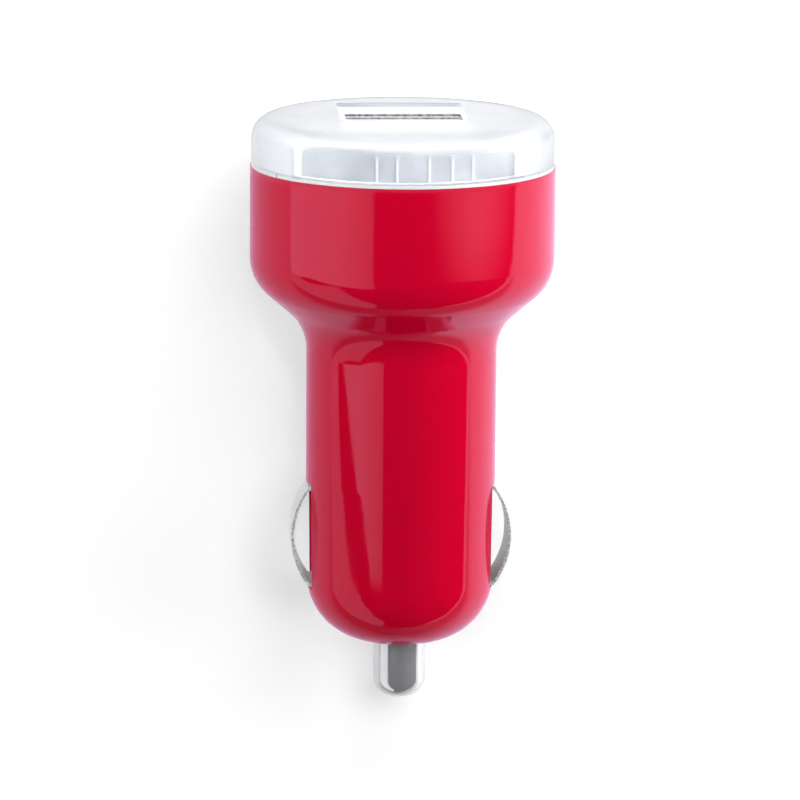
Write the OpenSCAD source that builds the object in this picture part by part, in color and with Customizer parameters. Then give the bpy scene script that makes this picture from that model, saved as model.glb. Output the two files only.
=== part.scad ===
// Car USB charger plug: a moulded shell with a flared head, a clear cap over a white
// carrier, one USB-A port, a sprung centre contact and two bowed ground clips.
// Frame: origin on the plug's axis at the neck, where the straight barrel ends and the
// flare begins. +Z points to the cap, +X runs across the two clips and along the port,
// -Y is the side that the port sits nearer.

/* [Barrel] */
// Diameter of the barrel that goes into the lighter socket
barrel_d = 20.6; // [20.2:0.1:21]
// Straight length of the barrel, from the neck to the nose rounding
barrel_l = 25.1; // [25:0.5:32]
// Radius of the rounding between barrel and nose
nose_r = 7; // [6:0.1:7.1]
// Wall thickness of the shell
wall = 1.6; // [1.4:0.1:1.8]
// How much the barrel's radius falls from the slots' upper end down to the nose rounding
lead_in = 0.1; // [0.05:0.05:0.3]

/* [Head] */
// Diameter of the head
head_d = 32.8; // [32.4:0.2:35]
// Straight height of the head, up to the rim
head_h = 9.9; // [9:0.5:14]
// Height of the flare between barrel and head
flare_h = 10.2; // [9.8:0.2:13]
// Radius of the hollow rounding at the neck
neck_r = 5.65; // [4:0.05:6]
// Radius of the rounding at the foot of the head
shoulder_r = 5.15; // [4:0.05:5.5]

/* [Cap] */
// Height of the clear cap
cap_h = 5; // [4.6:0.1:6]
// Wall thickness of the clear cap
cap_wall = 1.7; // [1.4:0.1:1.9]
// Thickness of the cap's top
cap_top = 1.4; // [1.2:0.1:1.8]
// Radius of the cap's top edge
cap_edge_r = 2.4; // [1.5:0.1:3]
// Step from the head's side in to the cap's side
cap_step = 0.15; // [0.1:0.05:0.4]
// Width of the window in the cap's top
window_w = 13.6; // [13.6:0.1:15]
// Depth of the window, front to back
window_d = 13.1; // [12:0.1:14]
// Distance from the axis to the window's front edge
window_front = 3.9; // [3.9:0.1:4.6]
// Radius of the window's corners
window_corner = 0.4; // [0.3:0.1:1]

/* [Carrier] */
// Thickness of the carrier's flange, the white line above the rim
flange_t = 0.35; // [0.3:0.05:0.8]
// Width of the carrier's tower
tower_w = 22.8; // [20:0.2:23]
// Distance from the axis to the tower's front face
tower_front = 8.6; // [7:0.1:9]
// Distance from the axis to the tower's back face
tower_back = 9.6; // [9.4:0.1:10.5]
// Wall thickness of the carrier
carrier_wall = 1; // [0.8:0.1:1.4]
// Depth of the well around the tower, below the head's rim
well_h = 1.8; // [1.2:0.1:2.2]
// Depth of the skirt that locates the carrier in the head
skirt_h = 4.5; // [3:0.5:7]
// Radius of the bead that snaps the skirt into the head
bead_r = 0.35; // [0.2:0.05:0.5]
// How far the window's pad lies under the cap's top face
pad_sink = 0.45; // [0.3:0.05:0.8]
// Places of the upright ribs between the panes of the tower's front
rib_x = [-3.2, -1.1, 2.2, 4.6, 6.7]; // [-9:0.1:9]
// Thickness of a rib
rib_t = 0.25; // [0.2:0.05:0.5]
// How far the ribs and their frame stand out of the panes
rib_out = 0.5; // [0.3:0.1:0.8]
// Width of the frame around the panes
pane_frame = 0.7; // [0.5:0.1:1]

/* [USB port] */
// Inner width of the port's metal shell
port_w = 12.5; // [12.4:0.05:12.6]
// Inner height of the port's metal shell
port_h = 5.12; // [5.02:0.05:5.22]
// Length of the port's metal shell
port_l = 14; // [13:0.5:15]
// Thickness of the shell's sheet metal
sheet_t = 0.32; // [0.25:0.01:0.35]
// Distance of the port's centre in front of the axis
port_front = 0.5; // [0.4:0.05:0.6]
// How far the lips of the mouth flare out
lip_out = 0.22; // [0.1:0.02:0.25]
// Height of the flared lips
lip_h = 0.7; // [0.4:0.1:1]
// Width of the tongue
tongue_w = 11.1; // [10.6:0.1:11.4]
// Thickness of the tongue
tongue_t = 1.84; // [1.7:0.02:1.9]
// Length of the tongue
tongue_l = 8.9; // [8:0.1:9.4]
// Gap between the tongue's back and the port's shell
tongue_gap = 0.67; // [0.5:0.01:0.8]
// Height of the block that holds the tongue
block_h = 2.6; // [2:0.1:3]
// Places of the four contacts across the tongue
contact_x = [-3.5, -1, 1, 3.5]; // [-4:0.1:4]
// Width of a contact
contact_w = 1; // [0.8:0.1:1.2]
// Thickness of a contact
contact_t = 0.25; // [0.2:0.05:0.35]
// Radius of a contact's raised touch point
touch_r = 1.6; // [1.2:0.1:2]
// How far the touch point stands out of the tongue
touch_out = 0.45; // [0.3:0.05:0.6]
// Distance from the tongue's end down to the touch point
touch_down = 3; // [2.5:0.1:4]
// Length of a contact's tail on the board
tail_l = 1.4; // [1:0.1:2]
// Width of a retention spring of the port's shell
latch_w = 1.3; // [1:0.1:1.6]
// Length of a retention spring
latch_l = 4.5; // [3:0.1:5]
// Width of the cut around a retention spring
latch_cut = 0.35; // [0.25:0.05:0.5]
// Distance from the mouth down to the retention springs
latch_down = 3.5; // [2.5:0.1:4]

/* [Circuit board] */
// Thickness of the board
board_t = 1.2; // [1:0.1:1.6]
// Depth of the groove that holds each edge of the board
rail_groove = 0.7; // [0.5:0.1:1]
// Thickness of a rail on each side of the board
rail_t = 1.2; // [0.8:0.1:1.6]
// Length of the rails
rail_l = 8; // [5:0.5:10]
// Height of the board above the port's lower end
board_up = 9.5; // [6:0.5:10]
// Diameter of the input capacitor's can
input_cap_d = 6.3; // [5:0.1:6.5]
// Length of the input capacitor's can
input_cap_l = 6; // [5:0.5:7]
// Diameter of the output capacitor's can
output_cap_d = 8; // [6.3:0.1:8.2]
// Length of the output capacitor's can
output_cap_l = 7; // [5:0.5:7]
// Diameter of the inductor's core
coil_core_d = 7.6; // [6:0.1:8]
// Height of the inductor's core
coil_core_h = 5.4; // [4:0.1:5.6]
// Thickness of the core's two flanges
coil_flange_t = 1.1; // [0.8:0.1:1.3]
// Diameter of the winding's wire
coil_wire_d = 0.5; // [0.4:0.1:0.8]
// Thickness of the moulded base under a capacitor's can
can_base_t = 0.8; // [0.5:0.1:1]
// Size of the regulator chip's body along the legs' row, across it and in height
chip_size = [4.9, 3.9, 1.4]; // [1:0.1:6]
// Pitch of the chip's legs
chip_pitch = 1.27; // [1.2:0.01:1.3]
// Width of a leg
leg_w = 0.4; // [0.3:0.05:0.5]
// Thickness of a leg
leg_t = 0.2; // [0.15:0.05:0.25]
// How far a leg stands out of the chip's body
leg_out = 1.1; // [0.9:0.1:1.3]
// Length, width and height of the diode
diode_size = [4.2, 2.6, 2]; // [1:0.1:5]
// Length, width and height of the fuse
fuse_size = [4.4, 3, 0.9]; // [0.5:0.1:5]
// Size of a chip resistor across the board, along it and in height
resistor_size = [1.2, 2, 0.5]; // [0.3:0.1:3]
// Distance between two chip resistors
resistor_pitch = 2.2; // [1.6:0.1:2.6]
// Size of a chip capacitor across the board, along it and in height
chip_cap_size = [2, 1.3, 0.9]; // [0.3:0.1:3]
// Distance between the two chip capacitors
chip_cap_pitch = 5.2; // [3:0.1:6]
// Size of the LED's base across the board, along it and in height
led_size = [3, 2.6, 0.7]; // [0.3:0.1:4]
// Diameter of the LED's lens
led_lens_d = 2.2; // [1.4:0.1:2.4]
// Height of the LED's lens
led_lens_h = 0.5; // [0.3:0.1:0.8]
// Clear distance between neighbouring parts on the board
part_gap = 0.6; // [0.4:0.1:1]

/* [Centre contact] */
// Diameter of the pin
tip_d = 5.8; // [5:0.1:5.8]
// How far the pin stands out of the nose
tip_out = 6.7; // [5:0.1:8]
// Radius of the rounding at the pin's end
tip_round = 2; // [1:0.1:2.4]
// How far the pin can be pushed in
tip_travel = 2.2; // [1.5:0.1:2.4]
// Diameter of the flange that keeps the pin in
tip_flange_d = 7.8; // [7.2:0.1:8]
// Thickness of that flange
tip_flange_t = 1; // [0.8:0.1:1.5]
// Length of the spring at rest
spring_l = 7.2; // [6.8:0.1:8]
// Outer diameter of the spring
spring_d = 5.2; // [4.6:0.1:5.2]
// Diameter of the spring's wire
spring_wire = 0.5; // [0.4:0.05:0.6]
// Turns of the spring
spring_turns = 6; // [5:1:7]
// Thickness of the cup's floor over the spring
cup_t = 0.6; // [0.4:0.1:0.8]
// Height of the cup's rim around the spring
cup_rim_h = 1.5; // [1:0.1:2]
// Thickness of the cup's rim
cup_rim_t = 0.35; // [0.25:0.05:0.4]
// Width of the cup's tab on the board
cup_tab_w = 2.4; // [1.6:0.1:3]
// Length of the cup's tab
cup_tab_l = 1.8; // [1.4:0.1:2.4]

/* [Ground clips] */
// Width of a clip's strip
clip_w = 5.4; // [4:0.1:5.6]
// Thickness of the strip
clip_t = 0.3; // [0.2:0.02:0.32]
// Outer radius of the bow
clip_r = 9.2; // [8.8:0.1:9.8]
// How far the bow stands out past the barrel at rest
clip_out = 1.65; // [1.2:0.05:1.8]
// How far a clip can be pressed in
clip_travel = 1.8; // [1.5:0.05:1.9]
// Length of the slot that a clip stands in
slot_l = 11.6; // [11.2:0.1:12]
// Distance from the nose's flat end to the slot
slot_up = 6; // [5.8:0.1:6.4]
// Distance from the slots' upper end to the barrel's full round
slot_margin = 0.5; // [0.3:0.1:1]
// Length of the clip's upper foot behind the wall
foot_l = 1.8; // [1.4:0.1:2]
// Length of the clip's lower foot, inside the nose
low_foot_l = 1.2; // [0.8:0.1:1.4]
// Thickness of the terminals that touch the clips
terminal_t = 0.3; // [0.2:0.05:0.35]
// Length of a terminal along the clip, below the top of its foot
terminal_l = 2.8; // [2:0.1:3.4]

/* [Fits] */
// Radial gap between the pin and its hole
tip_gap = 0.1; // [0.05:0.01:0.15]
// Gap around a clip in its slot
slot_gap = 0.3; // [0.25:0.05:0.4]
// Gap between the carrier's skirt and the head's bore
skirt_gap = 0.1; // [0.05:0.05:0.2]
// Gap around the port and the board in their slots
seat_gap = 0.1; // [0.05:0.01:0.15]

/* [Hidden] */
$fn = 72;
cut = 1;

barrel_r = barrel_d / 2;
head_r = head_d / 2;
low_barrel_r = barrel_r - lead_in;
bore_r = low_barrel_r - wall;
head_bore_r = head_r - wall;
nose_z = -barrel_l - nose_r;
floor_z = nose_z + wall;
rim_z = flare_h + head_h;

// The two roundings of the flare shrink together where the flare is too short for both
flare_step = head_r - barrel_r;
round_room = (pow(flare_step, 2) + pow(flare_h, 2)) / (2 * flare_step);
round_share = min(1, 0.99 * round_room / (neck_r + shoulder_r));
neck_round = neck_r * round_share;
shoulder_round = shoulder_r * round_share;
neck_c = [barrel_r + neck_round, 0];
shoulder_c = [head_r - shoulder_round, flare_h];
flare_run = shoulder_c - neck_c;
flare_angle = atan2(flare_run[1], flare_run[0])
    - asin((neck_round + shoulder_round) / norm(flare_run));
flare_normal = [sin(flare_angle), -cos(flare_angle)];

cap_r = head_r - cap_step;
cap_z = rim_z + flange_t;
cap_top_z = cap_z + cap_h;
cap_bore_r = cap_r - cap_wall;
tower_z = cap_top_z - cap_top - seat_gap;
bead_z = rim_z - skirt_h / 2;
skirt_bore_r = head_bore_r - skirt_gap - carrier_wall;
well_z = rim_z - well_h;
pad_z = cap_top_z - pad_sink;
window_y = window_d / 2 - window_front;

port_y = -port_front;
port_out_w = port_w + 2 * sheet_t;
port_out_h = port_h + 2 * sheet_t;
port_z = cap_top_z - seat_gap;
port_low_z = port_z - port_l;
tongue_low_z = port_low_z + block_h;
tongue_y = port_y - port_h / 2 + tongue_gap + tongue_t / 2;
contact_y = tongue_y + tongue_t / 2;
groove_top_z = tongue_low_z + tongue_l - 3 * contact_t;

board_y = port_y + port_out_h / 2;
board_back_y = board_y + board_t;
board_top_z = port_low_z + board_up;

slot_low_z = nose_z + slot_up;
slot_mid_z = slot_low_z + slot_l / 2;
seat_z = slot_low_z + slot_l + slot_margin;
slot_w = clip_w + 2 * slot_gap;
leg_z = slot_l / 2 - slot_gap;
clip_c = barrel_r + clip_out - clip_r;
leg_top_x = clip_c + sqrt(pow(clip_r, 2) - pow(leg_z, 2));
low_foot_z = slot_mid_z - leg_z - low_foot_l;
nose_bore_r = low_barrel_r - nose_r
    + sqrt(pow(nose_r - wall, 2) - pow(min(0, low_foot_z + barrel_l), 2));
foot_x = behind_wall(bore_r);
low_foot_x = behind_wall(nose_bore_r);
foot_top_z = slot_mid_z + leg_z + foot_l;
terminal_x = foot_x - clip_t - clip_travel - seat_gap;
terminal_y = clip_w / 2 + seat_gap;

tip_r = tip_d / 2;
tip_low_z = nose_z - tip_out;
spring_low_z = floor_z + tip_flange_t;
spring_boss_h = 1.6;
cup_z = spring_low_z + spring_l;
cup_r = spring_d / 2 + seat_gap + cup_rim_t;
board_low_z = cup_z + cup_t + 3 * seat_gap;
board_neck_z = foot_top_z + 2 * part_gap;
board_head_z = flare_h - wall;
board_stem_w = 2 * (terminal_x - terminal_t);
board_neck_w = 2 * sqrt(pow(bore_r - 2 * seat_gap, 2) - pow(board_back_y, 2));
board_head_w = tower_w - 2 * (carrier_wall + 2 * seat_gap);

rail_low_z = board_neck_z + part_gap;
input_cap_z = board_low_z + 2 * part_gap + input_cap_d / 2;
inductor_z = input_cap_z + input_cap_d / 2 + part_gap + coil_core_d / 2;
output_cap_z = inductor_z + coil_core_d / 2 + part_gap + output_cap_d / 2;
fuse_z = board_low_z + part_gap + fuse_size[1] / 2;
coil_stem_r = coil_core_d * 0.225;
winding_r = 2 * coil_stem_r - coil_wire_d / 2;

// Where the outer face of a clip's foot lies behind a round wall of that radius
function behind_wall(radius) = sqrt(pow(radius - seat_gap, 2) - pow(clip_w / 2, 2)) - seat_gap;

// Half outline of the shell's outside, taken in by an inset for its bore
module shell_half(inset) {
    neck_point = neck_c - (neck_round + inset) * flare_normal;
    shoulder_point = shoulder_c + (shoulder_round - inset) * flare_normal;
    translate([low_barrel_r - nose_r, -barrel_l]) intersection() {
        circle(nose_r - inset);
        translate([0, -nose_r]) square(nose_r);
    }
    translate([0, nose_z + inset]) square([low_barrel_r - nose_r, nose_r]);
    polygon([[0, -barrel_l], [low_barrel_r - inset, -barrel_l], [barrel_r - inset, seat_z],
        [0, seat_z]]);
    translate([0, seat_z]) square([barrel_r - inset, -seat_z]);
    difference() {
        polygon([[0, 0], [neck_c[0], 0], neck_point, shoulder_point, shoulder_c, [0, flare_h]]);
        translate(neck_c) circle(neck_round + inset);
    }
    translate(shoulder_c) intersection() {
        circle(shoulder_round - inset);
        translate([0, -shoulder_round]) square(shoulder_round);
    }
    translate([0, flare_h]) square([head_r - inset, head_h]);
}

// A flat plate with rounded corners, centred on the axis
module round_plate(size, corner, height) {
    linear_extrude(height) {
        square([size[0] - 2 * corner, size[1]], center = true);
        square([size[0], size[1] - 2 * corner], center = true);
        for (x = [-1, 1], y = [-1, 1])
            translate([x * (size[0] / 2 - corner), y * (size[1] / 2 - corner)]) circle(corner);
    }
}

module body_shell() {
    color("crimson") difference() {
        union() {
            difference() {
                rotate_extrude($fn = 128) shell_half(0);
                rotate_extrude($fn = 128) {
                    shell_half(wall);
                    translate([0, rim_z - cut]) square([head_bore_r, 2 * cut]);
                    translate([head_bore_r - skirt_gap, bead_z]) circle(bead_r + skirt_gap);
                }
            }
            board_rails();
        }
        translate([0, 0, nose_z - cut]) cylinder(r = tip_r + tip_gap, h = wall + 2 * cut);
        translate([0, 0, floor_z]) cylinder(d = tip_flange_d + 4 * seat_gap, h = 2 * tip_flange_t);
        for (side = [-1, 1]) translate([side * barrel_r, 0, slot_mid_z])
            cube([2 * (barrel_r - low_foot_x), slot_w, slot_l], center = true);
    }
}

// Two grooved rails inside the barrel that guide the edges of the board
module board_rails() {
    rail_w = board_t + 2 * rail_t;
    rail_in = board_neck_w / 2 - rail_groove;
    difference() {
        intersection() {
            for (side = [-1, 1]) translate([side * (rail_in + bore_r + wall / 2) / 2,
                    board_y + board_t / 2, rail_low_z + rail_l / 2])
                cube([bore_r + wall / 2 - rail_in, rail_w, rail_l], center = true);
            translate([0, 0, rail_low_z]) cylinder(r = bore_r + wall / 2, h = rail_l);
        }
        translate([0, board_y + board_t / 2, rail_low_z + rail_l / 2])
            cube([board_neck_w + 2 * seat_gap, board_t + 2 * seat_gap, rail_l + cut], center = true);
    }
}

module cap() {
    inner_edge_r = max(0.3, cap_edge_r - cap_wall);
    color("aliceblue", 0.4) difference() {
        translate([0, 0, cap_z]) rotate_extrude($fn = 128) difference() {
            rounded_top(cap_r, cap_h, cap_edge_r);
            translate([0, -cut]) rounded_top(cap_bore_r, cap_h - cap_top + cut, inner_edge_r);
        }
        translate([0, window_y, cap_top_z - cap_top - cut])
            round_plate([window_w, window_d], window_corner, cap_top + 2 * cut);
    }
}

// Half outline of a disc with a rounded top edge
module rounded_top(radius, height, edge) {
    square([radius, height - edge]);
    square([radius - edge, height]);
    translate([radius - edge, height - edge]) circle(edge);
}

module carrier() {
    color("white") difference() {
        union() {
            carrier_ring();
            tower(0, tower_z);
            translate([0, window_y, tower_z - carrier_wall])
                round_plate([window_w, window_d] - 2 * seat_gap * [1, 1],
                    window_corner - seat_gap, pad_z - tower_z + carrier_wall);
            pane_bars();
        }
        tower(carrier_wall, tower_z - carrier_wall);
        translate([0, port_y, well_z]) linear_extrude(2 * cap_h)
            square([port_out_w + 2 * seat_gap, port_out_h + 2 * seat_gap], center = true);
        translate([0, port_y, port_z - lip_h - seat_gap]) linear_extrude(cap_h)
            square([port_out_w, port_out_h] + 2 * (lip_out + seat_gap) * [1, 1], center = true);
    }
}

// The flange on the rim, the skirt with its bead, and the sunk floor that carries the tower
module carrier_ring() {
    rotate_extrude($fn = 128) {
        translate([skirt_bore_r, rim_z]) square([cap_r - skirt_bore_r, flange_t]);
        translate([skirt_bore_r, rim_z - skirt_h]) square([carrier_wall, skirt_h]);
        translate([head_bore_r - skirt_gap, bead_z]) circle(bead_r);
        translate([0, well_z - carrier_wall]) square([skirt_bore_r, carrier_wall]);
    }
}

// The frame and the upright ribs that stand out around the panes of the tower's front
module pane_bars() {
    depth = rib_out + carrier_wall;
    height = tower_z - well_z + seat_gap;
    translate([0, -tower_front - rib_out, well_z - seat_gap]) {
        for (x = rib_x) translate([x - rib_t / 2, 0, 0]) cube([rib_t, depth, height]);
        for (side = [-1, 1]) translate([side * (tower_w - pane_frame) / 2 - pane_frame / 2, 0, 0])
            cube([pane_frame, depth, height]);
        translate([-tower_w / 2, 0, height - pane_frame]) cube([tower_w, depth, pane_frame]);
    }
}

// Block of the carrier's tower, taken in by an inset for its hollow
module tower(inset, top_z) {
    low_z = well_z - carrier_wall - (inset > 0 ? cut : 0);
    intersection() {
        translate([-tower_w / 2 + inset, -tower_front + inset, low_z])
            cube([tower_w - 2 * inset, tower_front + tower_back - 2 * inset, top_z - low_z]);
        translate([0, 0, low_z]) cylinder(r = cap_bore_r - 2 * seat_gap - inset, h = top_z - low_z);
    }
}

module usb_shell() {
    fold_r = 0.7;
    color("silver") translate([0, port_y, 0]) difference() {
        union() {
            difference() {
                translate([0, 0, port_low_z]) round_plate([port_out_w, port_out_h], fold_r, port_l);
                translate([0, 0, port_low_z - cut])
                    round_plate([port_w, port_h], fold_r - sheet_t, port_l + 2 * cut);
            }
            for (side = [0, 1]) mirror([0, side, 0]) lip(port_w - 2 * fold_r, port_out_h / 2);
            for (side = [-1, 1]) rotate([0, 0, side * 90]) lip(port_h - 2 * fold_r, port_out_w / 2);
        }
        for (side = [-1, 1], x = [-1, 1])
            translate([x * port_w / 4, side * port_out_h / 2, port_z - latch_down]) latch_slot();
    }
}

// Flared lip at one side of the mouth, along X at a distance in -Y
module lip(length, distance) {
    low_z = port_z - lip_h;
    translate([-length / 2, 0, 0]) rotate([90, 0, 90]) linear_extrude(length)
        polygon([[-distance + sheet_t, low_z], [-distance, low_z], [-distance - lip_out, port_z],
            [-distance - lip_out + sheet_t, port_z]]);
}

// Cut around three sides of a retention spring, which stays joined to the sheet at its foot
module latch_slot() {
    height = latch_l + latch_cut;
    difference() {
        translate([0, 0, -height / 2]) cube([latch_w + 2 * latch_cut, 2 * cut, height], center = true);
        translate([0, 0, -latch_cut - height / 2]) cube([latch_w, 3 * cut, height], center = true);
    }
}

module usb_insulator() {
    color("white") difference() {
        union() {
            translate([0, port_y, port_low_z])
                linear_extrude(block_h) square([port_w, port_h] - 2 * seat_gap * [1, 1], center = true);
            translate([0, tongue_y, tongue_low_z - cut])
                linear_extrude(tongue_l + cut) square([tongue_w, tongue_t], center = true);
        }
        for (x = contact_x)
            translate([x - (contact_w + seat_gap) / 2, contact_y - contact_t, port_low_z - cut])
                cube([contact_w + seat_gap, contact_t + seat_gap, groove_top_z - port_low_z + cut]);
    }
}

// One contact: a bar in its groove with a raised touch point, and a tail bent to the board
module usb_contact(place) {
    bar_z = port_low_z - 4 * contact_t;
    bar_top_z = groove_top_z - 2 * seat_gap;
    touch_z = tongue_low_z + tongue_l - touch_down;
    color("gold") translate([contact_x[place] - contact_w / 2, 0, 0])
        rotate([90, 0, 90]) linear_extrude(contact_w) {
            translate([contact_y - contact_t, bar_z]) square([contact_t, bar_top_z - bar_z]);
            intersection() {
                translate([contact_y - touch_r + touch_out, touch_z]) circle(touch_r);
                translate([contact_y - contact_t, touch_z - touch_r]) square(2 * touch_r);
            }
            translate([contact_y - contact_t, bar_z])
                square([board_y - contact_y + contact_t, contact_t]);
            translate([board_y - contact_t, bar_z - tail_l]) square([contact_t, tail_l + contact_t]);
        }
}

module circuit_board() {
    hole_d = 1.2;
    color("seagreen") difference() {
        union() {
            board_strip(board_stem_w, board_low_z, board_neck_z);
            board_strip(board_neck_w, board_neck_z, board_head_z);
            board_strip(board_head_w, board_head_z, board_top_z);
        }
        for (side = [-1, 1])
            translate([side * (board_head_w / 2 - hole_d), board_y - cut, board_top_z - 2 * hole_d])
                rotate([-90, 0, 0]) cylinder(d = hole_d, h = board_t + 2 * cut);
    }
}

// A stretch of the board with its own width
module board_strip(width, low_z, high_z) {
    translate([-width / 2, board_y, low_z]) cube([width, board_t, high_z - low_z]);
}

// Places a part on the board's front or back, its own +Z pointing away from the board
module on_front(x, z) {
    translate([x, board_y, z]) rotate([90, 0, 0]) children();
}

module on_back(x, z) {
    translate([x, board_back_y, z]) rotate([-90, 0, 0]) children();
}

// A block lying flat on the board
module block(size) {
    translate([-size[0] / 2, -size[1] / 2, 0]) cube(size);
}

module regulator_chip() {
    stand = 0.1;
    dot_d = 0.6;
    dot_in = 0.8;
    color("dimgray") on_back(0, inductor_z) translate([0, 0, stand]) difference() {
        block(chip_size);
        translate([dot_in - chip_size[0] / 2, dot_in - chip_size[1] / 2, chip_size[2] - stand])
            cylinder(d = dot_d, h = cut);
    }
}

module regulator_legs() {
    knee = leg_out / 2;
    high = chip_size[2] / 2;
    color("silver") on_back(0, inductor_z)
        for (side = [0, 1], i = [-1.5 : 1.5]) mirror([0, side, 0])
            translate([i * chip_pitch - leg_w / 2, chip_size[1] / 2, 0]) rotate([90, 0, 90])
                linear_extrude(leg_w) polygon([[0, high + leg_t], [0, high], [knee - leg_t, high],
                    [knee, 0], [leg_out, 0], [leg_out, leg_t], [knee + leg_t / 2, leg_t],
                    [knee - leg_t / 2, high + leg_t]]);
}

module inductor_core() {
    dimple_t = 0.3;
    color("darkslategray") on_front(0, inductor_z) difference() {
        union() {
            cylinder(d = coil_core_d, h = coil_flange_t);
            cylinder(r = coil_stem_r, h = coil_core_h);
            translate([0, 0, coil_core_h - coil_flange_t]) cylinder(d = coil_core_d, h = coil_flange_t);
        }
        translate([0, 0, coil_core_h - dimple_t]) cylinder(r = coil_stem_r * 2 / 3, h = cut);
    }
}

// The winding's turns show as rounded ridges between the core's two flanges
module inductor_winding() {
    window = coil_core_h - 2 * coil_flange_t;
    turns = floor(window / coil_wire_d);
    pitch = window / turns;
    color("peru") on_front(0, inductor_z) translate([0, 0, coil_flange_t]) rotate_extrude() {
        translate([coil_stem_r, 0]) square([winding_r - coil_stem_r, window]);
        for (i = [0 : turns - 1]) translate([winding_r, (i + 0.5) * pitch])
            circle(coil_wire_d * 0.49);
    }
}

// An upright can with a rolled groove near its foot and a scored top
module capacitor_can(diameter, length) {
    groove_r = 0.5;
    score = 0.25;
    score_l = diameter * 0.7;
    can_l = length - can_base_t;
    translate([0, 0, can_base_t]) difference() {
        cylinder(d = diameter, h = can_l);
        translate([0, 0, 2 * groove_r]) rotate_extrude()
            translate([(diameter + groove_r) / 2, 0]) circle(groove_r);
        for (a = [0, 60, 120]) rotate([0, 0, a]) translate([0, 0, can_l])
            cube([score_l, score, score], center = true);
    }
}

// The square moulded base of a can, with two corners cut off
module capacitor_base(diameter) {
    half = diameter / 2;
    corner = half / 2;
    linear_extrude(can_base_t) polygon([[-half, -half], [half - corner, -half],
        [half, -half + corner], [half, half - corner], [half - corner, half], [-half, half]]);
}

module input_capacitor() {
    color("lightsteelblue") on_front(0, input_cap_z) capacitor_can(input_cap_d, input_cap_l);
}

module output_capacitor() {
    color("lightsteelblue") on_front(0, output_cap_z) capacitor_can(output_cap_d, output_cap_l);
}

module capacitor_bases() {
    color("black") {
        on_front(0, input_cap_z) capacitor_base(input_cap_d);
        on_front(0, output_cap_z) capacitor_base(output_cap_d);
    }
}

module diode() {
    color("black") on_back(0, fuse_z + (fuse_size[1] + diode_size[1]) / 2 + part_gap)
        block(diode_size);
}

module fuse() {
    color("darkolivegreen") on_back(0, fuse_z) block(fuse_size);
}

module chip_resistors() {
    color("black") for (i = [-1.5 : 1.5]) on_back(i * resistor_pitch, output_cap_z)
        block(resistor_size);
}

module chip_capacitors() {
    z = output_cap_z + (resistor_size[1] + chip_cap_size[1]) / 2 + 2 * part_gap;
    color("tan") for (side = [-1, 1]) on_back(side * chip_cap_pitch / 2, z) block(chip_cap_size);
}

module led() {
    x = led_size[0] / 2 + part_gap - board_head_w / 2;
    z = board_top_z - led_size[1] / 2 - 4 * part_gap;
    color("lightcyan") on_back(x, z) {
        block(led_size);
        translate([0, 0, led_size[2]])
            cylinder(d1 = led_lens_d, d2 = led_lens_d - led_lens_h, h = led_lens_h);
    }
}

module tip_contact() {
    color("gainsboro") rotate_extrude() {
        translate([0, tip_low_z]) {
            translate([0, tip_round]) square([tip_r, floor_z - tip_low_z - tip_round]);
            square([tip_r - tip_round, 2 * tip_round]);
            translate([tip_r - tip_round, tip_round]) intersection() {
                circle(tip_round);
                translate([0, -tip_round]) square(tip_round);
            }
        }
        translate([0, floor_z]) square([tip_flange_d / 2, tip_flange_t]);
        translate([0, floor_z])
            square([spring_d / 2 - spring_wire - seat_gap, tip_flange_t + spring_boss_h]);
    }
}

// Points of a coil: closed turns at both ends and even turns between
function coil_z(t) = spring_wire * (0.5 + t) * (t < 1 ? 1 : 0)
    + (t >= 1 && t <= spring_turns - 1
        ? spring_wire * 1.5 + (spring_l - 3 * spring_wire) * (t - 1) / (spring_turns - 2) : 0)
    + (t > spring_turns - 1 ? spring_l - spring_wire * (0.5 + spring_turns - t) : 0);

module tip_spring() {
    steps = 14;
    sides = 8;
    mean_r = (spring_d - spring_wire) / 2;
    wire_r = spring_wire / 2 - 0.02;
    rings = spring_turns * steps;
    points = [for (i = [0 : rings]) let (t = i / steps, a = 360 * t)
        for (j = [0 : sides - 1]) let (b = 360 * j / sides, r = mean_r + wire_r * cos(b))
            [r * cos(a), r * sin(a), spring_low_z + coil_z(t) + wire_r * sin(b)]];
    sides_faces = [for (i = [0 : rings - 1], j = [0 : sides - 1]) let (k = (j + 1) % sides)
        [i * sides + j, (i + 1) * sides + j, (i + 1) * sides + k, i * sides + k]];
    end_faces = [[for (j = [0 : sides - 1]) j],
        [for (j = [sides - 1 : -1 : 0]) rings * sides + j]];
    color("lightgray") polyhedron(points, concat(sides_faces, end_faces), convexity = 10);
}

module spring_cup() {
    low_z = cup_z - cup_rim_h;
    color("goldenrod") {
        difference() {
            translate([0, 0, low_z]) cylinder(r = cup_r, h = cup_rim_h + cup_t);
            translate([0, 0, low_z - cut]) cylinder(r = cup_r - cup_rim_t, h = cup_rim_h + cut);
        }
        translate([-cup_tab_w / 2, board_y - cup_rim_t, cup_z])
            cube([cup_tab_w, cup_rim_t, cup_tab_l]);
    }
}

// A bowed strip on the +X side: the bow outside, a leg at each end and feet behind the wall
module ground_clip() {
    end_angle = asin(leg_z / clip_r);
    translate([0, 0, slot_mid_z]) rotate([90, 0, 0])
        linear_extrude(clip_w, center = true) {
            translate([clip_c, 0]) intersection() {
                difference() {
                    circle(clip_r, $fn = 128);
                    circle(clip_r - clip_t, $fn = 128);
                }
                translate([clip_r * cos(end_angle) - clip_t, -leg_z]) square([clip_r, 2 * leg_z]);
            }
            clip_end(foot_x, foot_l);
            mirror([0, 1]) clip_end(low_foot_x, low_foot_l);
        }
}

// Outline of one end of the strip: the leg through the slot and the foot behind the wall
module clip_end(x, length) {
    translate([x - clip_t, leg_z - clip_t]) {
        square([leg_top_x - x + clip_t, clip_t]);
        square([clip_t, length + clip_t]);
    }
}

module clip_right() {
    color("silver") ground_clip();
}

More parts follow.
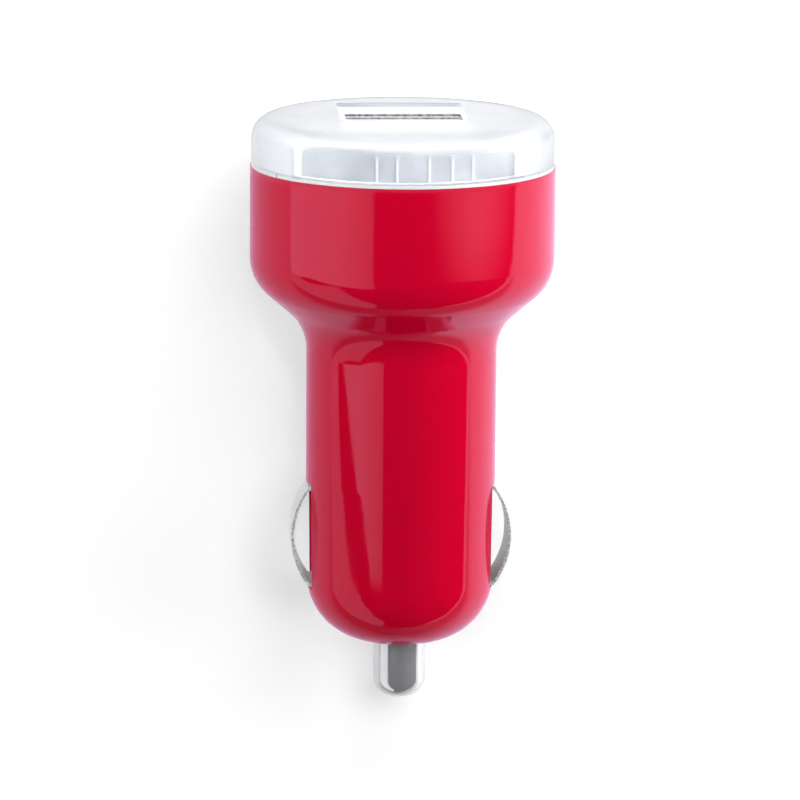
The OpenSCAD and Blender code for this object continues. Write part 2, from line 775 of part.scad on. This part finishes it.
module clip_left() {
    color("silver") mirror([1, 0, 0]) ground_clip();
}

// A folded terminal on the board's edge: two arms wipe the sides of the clip's upper end
module clip_terminal() {
    arm_l = foot_x - terminal_x;
    color("goldenrod") translate([terminal_x, 0, foot_top_z - terminal_l]) linear_extrude(terminal_l)
        difference() {
            translate([-terminal_t, -terminal_y - terminal_t])
                square([arm_l + terminal_t, 2 * (terminal_y + terminal_t)]);
            translate([0, -terminal_y]) square([arm_l + cut, 2 * terminal_y]);
        }
}

module clip_terminal_right() {
    clip_terminal();
}

module clip_terminal_left() {
    mirror([1, 0, 0]) clip_terminal();
}

body_shell();
cap();
carrier();
usb_shell();
usb_insulator();
usb_contact(0);  // usb_contact_1
usb_contact(1);  // usb_contact_2
usb_contact(2);  // usb_contact_3
usb_contact(3);  // usb_contact_4
circuit_board();
regulator_chip();
regulator_legs();
inductor_core();
inductor_winding();
input_capacitor();
output_capacitor();
capacitor_bases();
diode();
fuse();
chip_resistors();
chip_capacitors();
led();
tip_contact();
tip_spring();
spring_cup();
clip_left();
clip_right();
clip_terminal_left();
clip_terminal_right();
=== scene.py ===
"""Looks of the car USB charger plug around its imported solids: finishes, stage, lights and camera."""

import math

import bpy
from mathutils import Matrix, Vector


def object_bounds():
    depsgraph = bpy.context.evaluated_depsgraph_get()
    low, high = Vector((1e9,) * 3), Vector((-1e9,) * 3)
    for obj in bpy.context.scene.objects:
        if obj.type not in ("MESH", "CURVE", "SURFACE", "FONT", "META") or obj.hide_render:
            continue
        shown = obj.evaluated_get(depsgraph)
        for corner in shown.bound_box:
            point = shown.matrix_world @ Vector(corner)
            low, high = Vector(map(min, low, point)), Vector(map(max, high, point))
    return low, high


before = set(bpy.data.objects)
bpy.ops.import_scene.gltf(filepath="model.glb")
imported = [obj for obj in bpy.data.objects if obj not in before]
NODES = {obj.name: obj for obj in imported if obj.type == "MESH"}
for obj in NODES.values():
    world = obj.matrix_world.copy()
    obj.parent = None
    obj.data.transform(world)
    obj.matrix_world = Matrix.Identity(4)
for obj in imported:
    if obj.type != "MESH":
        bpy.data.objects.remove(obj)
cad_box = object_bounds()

MM = 0.001

# The photograph's view: a long lens on the cap's side, a little to the left of the port
VIEW_ELEVATION = math.radians(12.3)
VIEW_YAW = math.radians(3.5)
VIEW_ROLL = math.radians(0.46)
VIEW_DISTANCE = 450 * MM
AIM_Z = -5.7 * MM
AIM_LEFT = 0.1 * MM
LENS = 186.7
SENSOR = 36.0

TO_CAMERA = Vector((
    -math.sin(VIEW_YAW) * math.cos(VIEW_ELEVATION),
    -math.cos(VIEW_YAW) * math.cos(VIEW_ELEVATION),
    math.sin(VIEW_ELEVATION),
))
RIGHT = Vector((math.cos(VIEW_YAW), -math.sin(VIEW_YAW), 0))
UP = TO_CAMERA.cross(RIGHT)


def axes_matrix(right, up, back, place):
    """The matrix of an object whose own X, Y and Z point along right, up and back."""
    turn = Matrix((right, up, back)).transposed()
    return Matrix.Translation(place) @ turn.to_4x4()


def make_camera():
    data = bpy.data.cameras.new("camera")
    data.lens = LENS
    data.sensor_width = SENSOR
    data.clip_start = 10 * MM
    data.clip_end = 20
    camera = bpy.data.objects.new("camera", data)
    bpy.context.scene.collection.objects.link(camera)
    right = RIGHT * math.cos(VIEW_ROLL) + UP * math.sin(VIEW_ROLL)
    up = UP * math.cos(VIEW_ROLL) - RIGHT * math.sin(VIEW_ROLL)
    aim = Vector((0, 0, AIM_Z)) - RIGHT * AIM_LEFT
    camera.matrix_world = axes_matrix(right, up, TO_CAMERA, aim + TO_CAMERA * VIEW_DISTANCE)
    bpy.context.scene.camera = camera


# Materials

BEVEL_SAMPLES = 6


def linear(r, g, b):
    """An sRGB colour, 0 to 255 each, as the linear colour that a socket takes."""
    def channel(v):
        v /= 255
        return v / 12.92 if v <= 0.04045 else ((v + 0.055) / 1.055) ** 2.4
    return (channel(r), channel(g), channel(b), 1)


def feed(tree, socket, value):
    """Sets a socket to a number, or links it to another socket."""
    if isinstance(value, (int, float)):
        socket.default_value = value
    else:
        tree.links.new(value, socket)


def joined(tree, how, *values):
    """Plain arithmetic on values that are sockets or numbers."""
    node = tree.nodes.new("ShaderNodeMath")
    node.operation = how
    for socket, value in zip(node.inputs, values):
        feed(tree, socket, value)
    return node.outputs[0]


def spread(tree, value, low, high, start, end):
    """The value's range start to end, spread over low to high."""
    node = tree.nodes.new("ShaderNodeMapRange")
    ends = {"From Min": start, "From Max": end, "To Min": low, "To Max": high}
    for socket, number in ends.items():
        node.inputs[socket].default_value = number
    tree.links.new(value, node.inputs["Value"])
    return node.outputs["Result"]


def own_place(tree):
    """The place on an object along its own X, Y and Z."""
    place = tree.nodes.new("ShaderNodeSeparateXYZ")
    tree.links.new(tree.nodes.new("ShaderNodeTexCoord").outputs["Object"], place.inputs[0])
    return place.outputs


class Finish:
    """A material with one Principled shader and helpers that wire patterns into it."""

    def __init__(self, name, color, roughness, **sockets):
        self.material = bpy.data.materials.new(name)
        self.material.use_nodes = True
        self.tree = self.material.node_tree
        self.nodes = self.tree.nodes
        self.links = self.tree.links
        self.shader = self.nodes["Principled BSDF"]
        self.shader.inputs["Base Color"].default_value = color
        self.shader.inputs["Roughness"].default_value = roughness
        for socket, value in sockets.items():
            self.shader.inputs[socket.replace("_", " ")].default_value = value
        self.place = self.nodes.new("ShaderNodeTexCoord").outputs["Object"]

    def noise(self, size, detail=3.0, stretch=(1, 1, 1)):
        """Noise whose grains are about size across, stretched along the axes."""
        mapping = self.nodes.new("ShaderNodeMapping")
        mapping.inputs["Scale"].default_value = [1 / (size * s) for s in stretch]
        self.links.new(self.place, mapping.inputs["Vector"])
        noise = self.nodes.new("ShaderNodeTexNoise")
        noise.inputs["Scale"].default_value = 1
        noise.inputs["Detail"].default_value = detail
        self.links.new(mapping.outputs["Vector"], noise.inputs["Vector"])
        return noise.outputs["Fac"]

    def part(self, axis):
        """One coordinate of the place on the node, in metres of the shared frame."""
        node = self.nodes.new("ShaderNodeSeparateXYZ")
        self.links.new(self.place, node.inputs[0])
        return node.outputs[axis]

    def facing(self, axis):
        """How far the surface faces along an axis of the shared frame, 0 to 1 either way."""
        turn = self.nodes.new("ShaderNodeSeparateXYZ")
        self.links.new(self.nodes.new("ShaderNodeTexCoord").outputs["Normal"], turn.inputs[0])
        return self.joined("ABSOLUTE", turn.outputs[axis])

    def joined(self, how, *values):
        return joined(self.tree, how, *values)

    def set(self, name, value):
        self.links.new(value, self.shader.inputs[name])
        return self

    def spread(self, value, low, high, start=0.3, end=0.7):
        return spread(self.tree, value, low, high, start, end)

    def roughness(self, value, low, high):
        self.links.new(self.spread(value, low, high), self.shader.inputs["Roughness"])
        return self

    def tint(self, value, low, high, start=0.3, end=0.7):
        """The base colour runs from low to high with the value."""
        mix = self.nodes.new("ShaderNodeMix")
        mix.data_type = "RGBA"
        mix.inputs["A"].default_value = low
        mix.inputs["B"].default_value = high
        self.links.new(self.spread(value, 0, 1, start, end), mix.inputs["Factor"])
        self.links.new(mix.outputs["Result"], self.shader.inputs["Base Color"])
        return self

    def bump(self, value, depth, strength=1.0):
        node = self.nodes.new("ShaderNodeBump")
        node.inputs["Distance"].default_value = depth
        node.inputs["Strength"].default_value = strength
        self.links.new(value, node.inputs["Height"])
        last = self.shader.inputs["Normal"]
        if last.is_linked:
            self.links.new(last.links[0].from_socket, node.inputs["Normal"])
        self.links.new(node.outputs["Normal"], last)
        return self

    def soft_edges(self, radius):
        """Rounds the look of sharp edges, as moulding and tumbling do."""
        node = self.nodes.new("ShaderNodeBevel")
        node.samples = BEVEL_SAMPLES
        feed(self.tree, node.inputs["Radius"], radius)
        self.links.new(node.outputs["Normal"], self.shader.inputs["Normal"])
        return self


# How round the shell's edges look, and the head's rim, and the heights between which one takes over
EDGE_RADIUS = 0.12 * MM
RIM_RADIUS = 0.9 * MM
RIM_ROUND = (15.5 * MM, 16.5 * MM)


def moulded_red():
    """Polished red plastic, whose thin lacquer takes the green out of what it reflects."""
    f = Finish("moulded_red", linear(216, 2, 46), 0.06, IOR=1.5, Coat_Weight=0.5, Coat_IOR=1.15,
               Coat_Roughness=0.05, Coat_Tint=(1, 0.45, 1, 1))
    f.soft_edges(f.spread(f.part("Z"), EDGE_RADIUS, RIM_RADIUS, *RIM_ROUND))
    f.roughness(f.noise(2.2 * MM), 0.03, 0.09)
    f.bump(f.noise(6 * MM, 1.0), 0.004 * MM)
    f.bump(f.noise(0.25 * MM, 2.0), 0.0006 * MM)
    return f.material


# What the cap's satin adds to its roughness
SATIN = 0.32
# Heights between which the cap's polished side turns into its satin top
SATIN_FROM, SATIN_TO = 22.7 * MM, 23.9 * MM
# Distance to the side between which its polished front turns into its satin ends
ENDS_FROM, ENDS_TO = 11.2 * MM, 12.6 * MM
# Place of the panes in the carrier's front, and how near a point has to be to count
PANE_Y, PANE_NEAR = -8.6 * MM, 0.15 * MM
PANE_FOOT, PANE_TOP = 18.4 * MM, 23.3 * MM
# Across the panes, the places between which painted light turns them whiter towards the right, and by how
# much
PANE_LIGHT_SPAN = (-4 * MM, 5 * MM)
PANE_LIGHT_SHARE = 0.28
MILK_WHITE = linear(250, 251, 254)
# The panes' grey is painted shade for the dark inside behind them
PANE_SHADE_GREY = linear(183, 188, 190)


def clear_plastic():
    f = Finish("clear_plastic", linear(250, 252, 255), 0.03, IOR=1.49, Transmission_Weight=1.0)
    aside = f.joined("ABSOLUTE", f.part("X"))
    satin = f.joined("MAXIMUM", f.spread(f.part("Z"), 0.0, SATIN, SATIN_FROM, SATIN_TO),
                     f.spread(aside, 0.0, SATIN, ENDS_FROM, ENDS_TO))
    f.set("Roughness", f.joined("ADD", f.spread(f.noise(3 * MM), 0.02, 0.06), satin))
    f.bump(f.noise(5 * MM, 1.0), 0.006 * MM)
    return f.material


def white_plastic():
    """Milky moulded plastic; its thinner panes in front are painted grey, a painted shade for the dark
    inside behind them, and painted lighter towards the right.
    """
    f = Finish("white_plastic", MILK_WHITE, 0.25, IOR=1.5)
    f.soft_edges(0.1 * MM)
    near = f.joined("ABSOLUTE", f.joined("SUBTRACT", f.part("Y"), PANE_Y))
    pane = f.joined("LESS_THAN", near, PANE_NEAR)
    tall = f.joined("MULTIPLY", f.joined("GREATER_THAN", f.part("Z"), PANE_FOOT),
                    f.joined("LESS_THAN", f.part("Z"), PANE_TOP))
    mask = f.joined("MULTIPLY", pane, tall)
    # Painted shade on the panes, lifted by random tone and by painted light that grows towards the right
    tone_and_light = f.joined("ADD", f.spread(f.noise(3 * MM, 2.0), 0.0, 0.35),
                     f.spread(f.part("X"), 0, PANE_LIGHT_SHARE, *PANE_LIGHT_SPAN))
    f.tint(f.joined("SUBTRACT", mask, f.joined("MULTIPLY", tone_and_light, mask)), MILK_WHITE, PANE_SHADE_GREY, 0, 1)
    f.roughness(f.noise(1.2 * MM), 0.42, 0.56)
    f.bump(f.noise(0.6 * MM, 2.0), 0.0005 * MM)
    return f.material


def dark_plastic(name, color, low, high):
    f = Finish(name, color, high)
    f.soft_edges(0.06 * MM)
    f.roughness(f.noise(0.5 * MM), low, high)
    f.bump(f.noise(0.08 * MM, 2.0), 0.004 * MM)
    return f.material


def metal(name, color, dark, low, high, grain=(1, 1, 1), grain_size=0.35):
    """Plated or bare metal: a fine drawn grain and faint darker patches."""
    f = Finish(name, color, high, Metallic=1.0)
    f.soft_edges(0.05 * MM)
    f.tint(f.noise(1.6 * MM), dark, color)
    f.roughness(f.noise(grain_size * MM, 4.0, grain), low, high)
    f.bump(f.noise(grain_size * MM / 2, 3.0, grain), 0.0012 * MM)
    return f.material


def polished_pin():
    """Nickel plate with a faint haze from use."""
    f = Finish("nickel", linear(244, 245, 249), 0.1, Metallic=0.72)
    f.soft_edges(0.05 * MM)
    f.tint(f.noise(2 * MM), linear(238, 239, 243), linear(250, 251, 254))
    f.roughness(f.noise(0.4 * MM, 4.0, (1, 1, 4)), 0.06, 0.14)
    f.bump(f.noise(0.3 * MM, 3.0, (1, 1, 4)), 0.0006 * MM)
    return f.material


# The port's top, and below it the dark lines of painted shade round its mouth, where its inside lies in
# shade: depth and half width
LIP_TOP = max(v.co.z for v in NODES["usb_shell"].data.vertices)
LIP_SHADE_LINES = ((0.22 * MM, 0.16 * MM), (0.54 * MM, 0.11 * MM))
STEEL_PALE = linear(250, 251, 253)
# The dark lines' colour is painted shade
STEEL_SHADE = linear(70, 72, 76)


def port_steel():
    """Drawn steel sheet, pale and matt, with dark lines of painted shade round its mouth, where its
    inside lies in shade.
    """
    f = Finish("port_steel", STEEL_PALE, 0.3, Metallic=0.08)
    f.soft_edges(0.05 * MM)
    depth = f.joined("SUBTRACT", LIP_TOP, f.part("Z"))
    lines = []
    for middle, half in LIP_SHADE_LINES:
        away = f.joined("ABSOLUTE", f.joined("SUBTRACT", depth, middle))
        lines.append(f.spread(away, 1, 0, half / 2, half))
    darkening = f.spread(f.noise(0.5 * MM, 4.0), 0.5, 1.1)
    # Painted shade: dark lines round the mouth, made patchy by noise
    f.tint(f.joined("MULTIPLY", f.joined("MAXIMUM", *lines), darkening), STEEL_PALE, STEEL_SHADE, 0, 1)
    f.roughness(f.noise(0.3 * MM, 3.0, (2, 2, 0.5)), 0.3, 0.46)
    f.bump(f.noise(0.15 * MM, 2.0), 0.002 * MM)
    return f.material


# Heights between which a clip's lower end turns rough
CLIP_FOOT = (-25 * MM, -23 * MM)


def clip_strip():
    """Plated spring strip: pale satin broad faces, with rough darker edges and feet."""
    f = Finish("clip_strip", linear(244, 245, 249), 0.3, Metallic=0.05, IOR=1.2)
    f.soft_edges(0.04 * MM)
    edge = f.spread(f.facing("Y"), 0, 1, 0.6, 0.9)
    foot = f.spread(f.part("Z"), 0.75, 0, *CLIP_FOOT)
    patchy = f.spread(f.noise(0.22 * MM, 4.0), 0.05, 0.8)
    darkening = f.joined("MULTIPLY", f.joined("MAXIMUM", edge, foot), patchy)
    f.tint(darkening, linear(248, 249, 252), linear(104, 106, 110), 0, 1)
    f.roughness(f.noise(0.25 * MM, 4.0, (1, 1, 3)), 0.26, 0.42)
    f.bump(f.noise(0.12 * MM, 3.0), 0.002 * MM)
    return f.material


def circuit_board():
    f = Finish("circuit_board", linear(24, 96, 52), 0.35, Coat_Weight=0.4, Coat_Roughness=0.15)
    f.soft_edges(0.05 * MM)
    f.tint(f.noise(1.1 * MM, 1.0, (0.35, 1, 2.5)), linear(16, 78, 42), linear(40, 120, 66))
    f.roughness(f.noise(0.4 * MM), 0.3, 0.45)
    f.bump(f.noise(0.2 * MM, 2.0), 0.003 * MM)
    return f.material


def led_lens():
    f = Finish("led_lens", linear(238, 240, 214), 0.15, IOR=1.5, Subsurface_Weight=0.2)
    f.tint(f.noise(0.8 * MM), linear(226, 228, 196), linear(246, 246, 232))
    f.roughness(f.noise(0.4 * MM), 0.1, 0.25)
    f.bump(f.noise(0.2 * MM), 0.002 * MM)
    return f.material


def dress(material, *names):
    for name in names:
        slots = NODES[name].data.materials
        slots.clear()
        slots.append(material)


def dress_nodes():
    dress(moulded_red(), "body_shell")
    dress(clear_plastic(), "cap")
    dress(white_plastic(), "carrier")
    dress(dark_plastic("port_plastic", linear(236, 236, 238), 0.3, 0.45), "usb_insulator")
    dress(port_steel(), "usb_shell")
    gold = metal("gold_plate", linear(232, 192, 110), linear(208, 164, 84), 0.18, 0.3)
    dress(gold, *[f"usb_contact_{i}" for i in (1, 2, 3, 4)])
    dress(circuit_board(), "circuit_board")
    dress(dark_plastic("chip_mould", linear(38, 38, 40), 0.45, 0.6),
          "regulator_chip", "diode", "capacitor_bases", "chip_resistors")
    dress(metal("tinned_legs", linear(196, 198, 202), linear(168, 170, 174), 0.25, 0.4),
          "regulator_legs")
    dress(dark_plastic("ferrite", linear(52, 54, 58), 0.55, 0.75), "inductor_core")
    dress(metal("winding", linear(206, 128, 74), linear(168, 96, 50), 0.2, 0.34, (1, 1, 0.2)),
          "inductor_winding")
    dress(metal("can_metal", linear(200, 204, 210), linear(176, 180, 188), 0.18, 0.3),
          "input_capacitor", "output_capacitor")
    dress(dark_plastic("fuse_body", linear(58, 84, 50), 0.4, 0.55), "fuse")
    dress(dark_plastic("ceramic", linear(176, 148, 112), 0.5, 0.65), "chip_capacitors")
    dress(led_lens(), "led")
    dress(polished_pin(), "tip_contact")
    dress(metal("spring_steel", linear(190, 190, 192), linear(160, 160, 164), 0.2, 0.34),
          "tip_spring")
    dress(metal("brass", linear(214, 178, 98), linear(184, 146, 70), 0.22, 0.36),
          "spring_cup", "clip_terminal_left", "clip_terminal_right")
    dress(clip_strip(), "clip_left", "clip_right")


# Stage: a white sheet that the plug lies on, seen straight on, and a plain floor well below it

# Distance of the object's rearmost point behind the origin, along the view
REST_DEPTH = max(-(v.co @ TO_CAMERA) for v in NODES["body_shell"].data.vertices)
FLOOR_DROP = 22 * MM
FLOOR_HALF = 3
# How much light the sheet and the floor send back, to matt surfaces and as they are looked at
WHITE = 0.8
SEEN_WHITE = 0.98
SHEET_HALF = 900 * MM
SHEET_RIGHT = 330 * MM
SHEET_GAP = 0.05 * MM
# The glow that lifts the sheet's lit white to full white, as it is looked at
LIFT = 0.315
# How bright gloss sees the sheet on its left and on its right, and where one turns into the other
GLOSS_WHITE = (0.63, 1.38)
GLOSS_TURN = (-10 * MM, 35 * MM)
# Heights on the sheet between which gloss comes to see full white all the way across
GLOSS_RISE = (16 * MM, 21 * MM)
# Low on the sheet, the heights between which what gloss sees fades to a share of itself
GLOSS_FALL = (-75 * MM, -42 * MM)
FALL_SHARE = 0.3
# Share of the floor's light that reaches matt surfaces
FLOOR_SHARE = 0.5
# The room in front as gloss sees it, and the light over the cap
DARK_ROOM = 0.02
TOP_ROOM = 1.15
# How far up gloss has to look, as a part of straight up, for the one to turn into the other
ROOM_RISE = (0.1, 0.6)


def flat_piece(name, centre, right, up, corners):
    """A flat outline whose own X runs along right and its own Y along up."""
    mesh = bpy.data.meshes.new(name)
    mesh.from_pydata([(x, y, 0) for x, y in corners], [], [range(len(corners))])
    piece = bpy.data.objects.new(name, mesh)
    piece.matrix_world = axes_matrix(right, up, right.cross(up), centre)
    bpy.context.scene.collection.objects.link(piece)
    return piece


def rectangle(left, right, low, high):
    return [(left, low), (right, low), (right, high), (left, high)]


def ray_masks(tree, path):
    """Masks of the rays that have met nothing matt yet, and of those that gloss outside the cap sends."""
    looking = joined(tree, "LESS_THAN", path.outputs["Diffuse Depth"], 0.5)
    outside = joined(tree, "LESS_THAN", path.outputs["Transmission Depth"], 0.5)
    mirrored = joined(tree, "MULTIPLY", path.outputs["Is Glossy Ray"], looking)
    return looking, joined(tree, "MULTIPLY", mirrored, outside)


def seen_white(name, share):
    """One-sided matt white that takes shadows, lifted towards full white where it is looked at."""
    mat = bpy.data.materials.new(name)
    mat.use_nodes = True
    tree = mat.node_tree
    nodes, links = tree.nodes, tree.links
    nodes.clear()
    path = nodes.new("ShaderNodeLightPath")
    looking, mirrored = ray_masks(tree, path)

    def mixed(factor, low, high):
        mix = nodes.new("ShaderNodeMixShader")
        for socket, value in zip(mix.inputs, (factor, low, high)):
            links.new(value, socket)
        return mix.outputs[0]

    out = nodes.new("ShaderNodeOutputMaterial")
    diffuse = nodes.new("ShaderNodeBsdfDiffuse")
    links.new(spread(tree, path.outputs["Is Diffuse Ray"], SEEN_WHITE, WHITE * share, 0, 1),
              diffuse.inputs["Color"])
    glow = nodes.new("ShaderNodeEmission")
    links.new(joined(tree, "MULTIPLY", looking, LIFT), glow.inputs["Strength"])
    both = nodes.new("ShaderNodeAddShader")
    links.new(diffuse.outputs[0], both.inputs[0])
    links.new(glow.outputs[0], both.inputs[1])
    # Across the sheet, its own X runs to the picture's right and its own Y up
    place = own_place(tree)
    across = spread(tree, place["X"], *GLOSS_WHITE, *GLOSS_TURN)
    above = spread(tree, place["Y"], 0, 1, *GLOSS_RISE)
    low = spread(tree, place["Y"], FALL_SHARE, 1, *GLOSS_FALL)
    strength = joined(tree, "MULTIPLY", joined(tree, "MAXIMUM", across, above), low)
    gloss = nodes.new("ShaderNodeEmission")
    links.new(strength, gloss.inputs["Strength"])
    shown = mixed(mirrored, both.outputs[0], gloss.outputs[0])
    side = nodes.new("ShaderNodeNewGeometry")
    clear = nodes.new("ShaderNodeBsdfTransparent")
    shown = mixed(side.outputs["Backfacing"], shown, clear.outputs[0])
    links.new(shown, out.inputs["Surface"])
    return mat


def glow_material(name, strength):
    """A plain glow; the strength is a number, or what a function wires up in the material's tree."""
    mat = bpy.data.materials.new(name)
    mat.use_nodes = True
    tree = mat.node_tree
    tree.nodes.clear()
    out = tree.nodes.new("ShaderNodeOutputMaterial")
    glow = tree.nodes.new("ShaderNodeEmission")
    feed(tree, glow.inputs["Strength"], strength(tree) if callable(strength) else strength)
    tree.links.new(glow.outputs[0], out.inputs["Surface"])
    return mat


def reflected_only(piece):
    """A card that only reflections see."""
    piece.visible_camera = False
    piece.visible_diffuse = False
    piece.visible_shadow = False
    piece.visible_transmission = False


def make_stage():
    sheet = flat_piece("sheet", -TO_CAMERA * (REST_DEPTH + SHEET_GAP), RIGHT, UP,
                       rectangle(-SHEET_HALF, SHEET_RIGHT, -SHEET_HALF, SHEET_HALF))
    sheet.data.materials.append(seen_white("sheet_white", 1))
    low_z = cad_box[0].z - FLOOR_DROP
    floor = flat_piece("floor", Vector((0, 0, low_z)), Vector((1, 0, 0)), Vector((0, 1, 0)),
                       rectangle(-FLOOR_HALF, FLOOR_HALF, -FLOOR_HALF, FLOOR_HALF))
    floor.data.materials.append(seen_white("floor_white", FLOOR_SHARE))
    # Gloss sees the room there, as it does round a plug that lies on the sheet
    floor.visible_glossy = False


# The soft box on the left, as reflections see it: a wall section round the plug
CARD_RADIUS = 200 * MM
CARD_START = math.radians(20.5)
CARD_END = math.radians(89)
CARD_TOP = 160 * MM
# Height on the barrel at which its lower edge shows, up to an angle and per degree beyond it
CARD_LOW = -24.6 * MM
CARD_TURN = 34.5
CARD_RISE = 0.67 * MM
CARD_STEPS = 28
# It is weaker at its near edge, which lies at the first distance to the left, than from the second on
CARD_GLOW = (0.7, 1.33)
CARD_FADE = (-85 * MM, -160 * MM)


def card_low_edge(angle):
    """Height of the card's lower edge, by the angle off the view."""
    shown = CARD_LOW + CARD_RISE * max(0, math.degrees(angle) - CARD_TURN)
    camera_height = AIM_Z + VIEW_DISTANCE * math.sin(VIEW_ELEVATION)
    slope = (camera_height - shown) / (VIEW_DISTANCE * math.cos(VIEW_ELEVATION))
    return shown - slope * CARD_RADIUS


def card_fade(tree):
    return spread(tree, own_place(tree)["X"], *CARD_GLOW, *CARD_FADE)


def make_soft_box():
    points, faces = [], []
    for i in range(CARD_STEPS + 1):
        angle = CARD_START + (CARD_END - CARD_START) * i / CARD_STEPS
        turned = VIEW_YAW + angle
        x, y = -CARD_RADIUS * math.sin(turned), -CARD_RADIUS * math.cos(turned)
        points += [(x, y, card_low_edge(angle)), (x, y, CARD_TOP)]
    for i in range(CARD_STEPS):
        faces.append((2 * i, 2 * i + 1, 2 * i + 3, 2 * i + 2))
    mesh = bpy.data.meshes.new("soft_box")
    mesh.from_pydata(points, [], faces)
    card = bpy.data.objects.new("soft_box", mesh)
    bpy.context.scene.collection.objects.link(card)
    card.data.materials.append(glow_material("soft_box_glow", card_fade))
    reflected_only(card)


# A faint glow on the right that the head's shoulder reflects: its angle off the view, distance and size
VEIL_ANGLE = math.radians(55)
VEIL_AWAY = 195 * MM
VEIL_HALF = 130 * MM
VEIL_TOP = 60 * MM
VEIL_GLOW = 1.05
# It dies out downward between these heights, and sideways between these distances from its middle
VEIL_FALL = (-29 * MM, -17 * MM)
VEIL_SIDES = (VEIL_HALF, 15 * MM)


def veil_fade(tree):
    place = own_place(tree)
    tall = spread(tree, place["Y"], 0, VEIL_GLOW, *VEIL_FALL)
    wide = spread(tree, joined(tree, "ABSOLUTE", place["X"]), 0, 1, *VEIL_SIDES)
    return joined(tree, "MULTIPLY", tall, wide)


def make_veil():
    ahead = Vector((TO_CAMERA.x, TO_CAMERA.y, 0)).normalized()
    way = RIGHT * math.sin(VEIL_ANGLE) + ahead * math.cos(VEIL_ANGLE)
    up = Vector((0, 0, 1))
    veil = flat_piece("veil", way * VEIL_AWAY, way.cross(up), up,
                      rectangle(-VEIL_HALF, VEIL_HALF, VEIL_FALL[0], VEIL_TOP))
    veil.data.materials.append(glow_material("veil_glow", veil_fade))
    reflected_only(veil)


# The pale walls beside the sheet, low down, that the barrel's sides, the nose and the pin reflect:
# place to the right, glow, and the top's outline in mm, as distances in front of the sheet and heights
WALL_LOW = 900 * MM
LEFT_TOP = [(0, -41), (38, -41), (46, -62), (67, -84), (93, -102), (122, -116), (172, -140)]
RIGHT_TOP = [(0, -41), (24, -41)]
WALLS = {
    "left": (-215 * MM, 0.8, LEFT_TOP),
    "right": (330 * MM, 1.3, RIGHT_TOP),
}


def make_low_walls():
    for name, (aside, glow, top) in WALLS.items():
        corners = [(d * MM, h * MM) for d, h in top]
        corners += [(corners[-1][0], -WALL_LOW), (0, -WALL_LOW)]
        foot = RIGHT * aside - TO_CAMERA * REST_DEPTH
        wall = flat_piece(f"wall_{name}", foot, TO_CAMERA, UP, corners)
        wall.data.materials.append(glow_material(f"wall_{name}_glow", glow))
        reflected_only(wall)


# A disk lamp lights half the space before it unless its beam is narrowed
WIDE = 180
# Lamps: angle to the right of the view and height above it in degrees, distance and size in metres,
# power in watts and spread of the beam in degrees
LAMPS = {
    "left": (-80, 10, 0.6, 0.30, 1.12, WIDE),
    "left_front": (-60, 10, 0.6, 0.30, 0.38, WIDE),
    "front": (15, 10, 0.6, 0.30, 1.2, WIDE),
    "right_front": (60, 10, 0.6, 0.30, 0.74, WIDE),
    "right_back": (97, 10, 0.6, 0.30, 4.9, WIDE),
    "front_top": (20, 45, 0.35, 0.20, 0.2, WIDE),
    "right_top": (90, 65, 0.30, 0.20, 0.08, WIDE),
    "back_top": (180, 75, 0.30, 0.20, 2.4, WIDE),
    "head_front": (0, 30, 0.30, 0.04, 0.00078, 9),
    "head_left": (-50, 25, 0.30, 0.04, 0.00035, 9),
    "head_right": (30, 30, 0.30, 0.04, 0.0002, 9),
}
# The narrow beams meet the axis just over the cap, and so fade out down the head
BEAM_AIM = Vector((0, 0, 26 * MM))


def make_lamps():
    for name, (azimuth, height, distance, size, power, spread_angle) in LAMPS.items():
        a, h = math.radians(azimuth), math.radians(height)
        level = RIGHT * math.sin(a) + TO_CAMERA * math.cos(a)
        way = level * math.cos(h) + UP * math.sin(h)
        data = bpy.data.lights.new(name, "AREA")
        data.shape = "DISK"
        data.size = size
        data.energy = power
        data.spread = math.radians(spread_angle)
        lamp = bpy.data.objects.new(name, data)
        bpy.context.scene.collection.objects.link(lamp)
        side = way.orthogonal().normalized()
        aim = Vector() if spread_angle == WIDE else BEAM_AIM
        lamp.matrix_world = axes_matrix(side, way.cross(side), way, aim + way * distance)
        lamp.visible_glossy = False
        lamp.visible_camera = False


def make_world():
    """Reflections see a dim room in front and light over the cap; looked at, it is white."""
    world = bpy.data.worlds.new("studio")
    bpy.context.scene.world = world
    world.use_nodes = True
    tree = world.node_tree
    nodes, links = tree.nodes, tree.links
    nodes.clear()
    out = nodes.new("ShaderNodeOutputWorld")
    glow = nodes.new("ShaderNodeBackground")
    upward = nodes.new("ShaderNodeVectorMath")
    upward.operation = "DOT_PRODUCT"
    upward.inputs[1].default_value = UP
    links.new(nodes.new("ShaderNodeTexCoord").outputs["Generated"], upward.inputs[0])
    below_white = spread(tree, upward.outputs["Value"], DARK_ROOM - 1, TOP_ROOM - 1, *ROOM_RISE)
    looking, mirrored = ray_masks(tree, nodes.new("ShaderNodeLightPath"))
    links.new(joined(tree, "MULTIPLY_ADD", mirrored, below_white, looking), glow.inputs["Strength"])
    links.new(glow.outputs[0], out.inputs["Surface"])


make_camera()
dress_nodes()
NODES["cap"].visible_shadow = False
# The sheet stays neutral beside the red shell
NODES["body_shell"].visible_diffuse = False
make_stage()
make_soft_box()
make_veil()
make_low_walls()
make_lamps()
make_world()
bpy.context.scene.view_settings.view_transform = "Standard"
